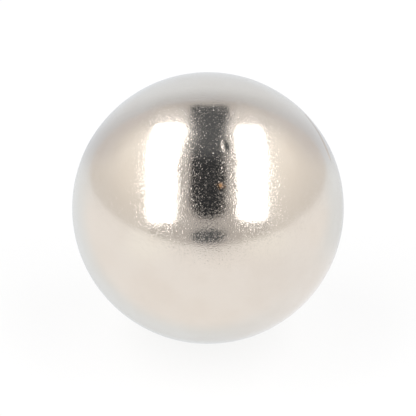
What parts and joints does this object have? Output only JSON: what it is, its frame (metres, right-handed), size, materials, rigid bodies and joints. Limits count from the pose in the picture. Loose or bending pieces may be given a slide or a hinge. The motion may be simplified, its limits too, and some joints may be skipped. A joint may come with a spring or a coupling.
{
  "type": "ball magnet",
  "caption": "Solid round ball magnet with a bright nickel-plated finish. It clings to steel by either pole, or sits in a round socket.",
  "frame": {"origin": "centre of the ball", "axes": "+Z along the magnetic axis, out of the north pole; X and Y are any two directions square to it"},
  "size_m": [0.0126, 0.0126, 0.0126],
  "materials": {
    "nickel_plate": "bright nickel plate, warm silver, with a very fine pebbled grain from tumbling, and a few small dings"
  },
  "bodies": {
    "root": {"ball": "nickel_plate"}
  },
  "joints": []
}
